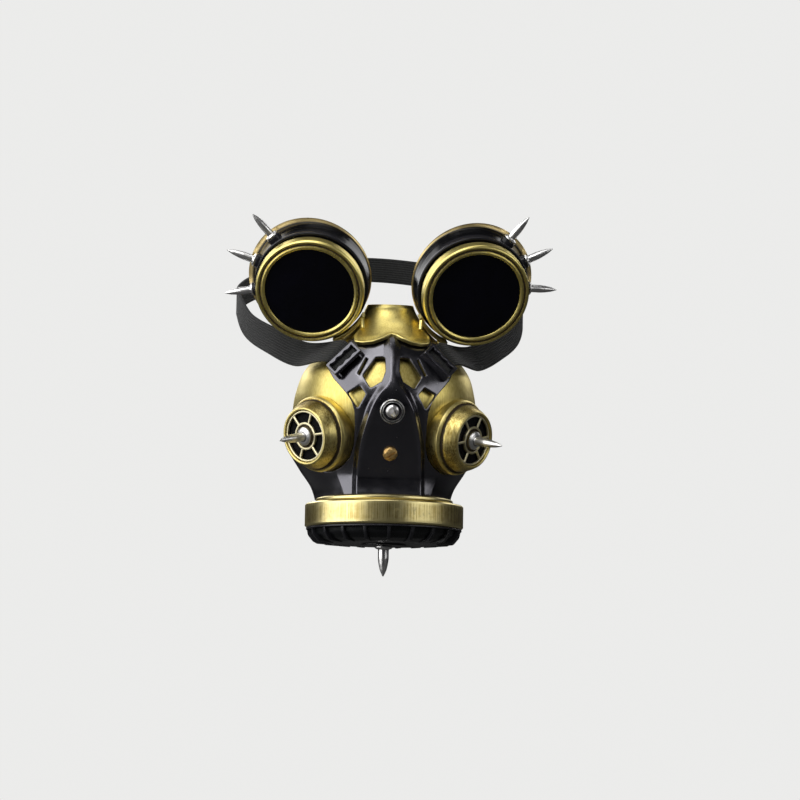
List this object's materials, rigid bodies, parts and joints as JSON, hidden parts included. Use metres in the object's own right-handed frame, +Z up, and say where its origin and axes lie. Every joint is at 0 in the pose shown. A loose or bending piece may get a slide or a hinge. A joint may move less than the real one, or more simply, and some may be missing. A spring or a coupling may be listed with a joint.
{
  "type": "costume gas mask with goggles",
  "caption": "Costume half mask in gold and glossy black with side cups, spiked goggles, a round canister under the chin and an elastic head strap.",
  "frame": {"origin": "where the half mask's inner face sits on the bridge of the wearer's nose", "axes": "+X to the right seen from the front, +Y from the mask into the wearer's face, +Z up; the front faces -Y"},
  "size_m": [0.1838, 0.2428, 0.1996],
  "materials": {
    "antique_gold": "metallic antique gold, brushed, with dark brown patina in the grooves",
    "gloss_black": "glossy black moulded plastic",
    "silver": "polished silver",
    "dark_lens": "very dark tinted lens",
    "filter_mesh": "matte black disc",
    "elastic": "matte dark grey woven elastic"
  },
  "bodies": {
    "root": {"facepiece": "antique_gold", "front_plate": "gloss_black", "nose_piece": "antique_gold", "cheek_cup_left": "antique_gold", "grille_left": "antique_gold", "filter_left": "filter_mesh", "cup_spike_left": "silver", "strap_loop_left": "gloss_black", "eyecup_left": "gloss_black", "bezel_left": "antique_gold", "lens_left": "dark_lens", "goggle_spike_left_1": "silver", "goggle_spike_left_2": "silver", "goggle_spike_left_3": "silver", "goggle_screw_left": "silver", "cheek_cup_right": "antique_gold", "grille_right": "antique_gold", "filter_right": "filter_mesh", "cup_spike_right": "silver", "strap_loop_right": "gloss_black", "eyecup_right": "gloss_black", "bezel_right": "antique_gold", "lens_right": "dark_lens", "goggle_spike_right_1": "silver", "goggle_spike_right_2": "silver", "goggle_spike_right_3": "silver", "goggle_screw_right": "silver", "panel_spike": "silver", "panel_ring": "silver", "panel_screw": "antique_gold", "canister_collar": "antique_gold", "canister_band": "antique_gold", "canister_base": "gloss_black", "canister_spike": "silver", "head_strap": "elastic"}
  },
  "joints": []
}
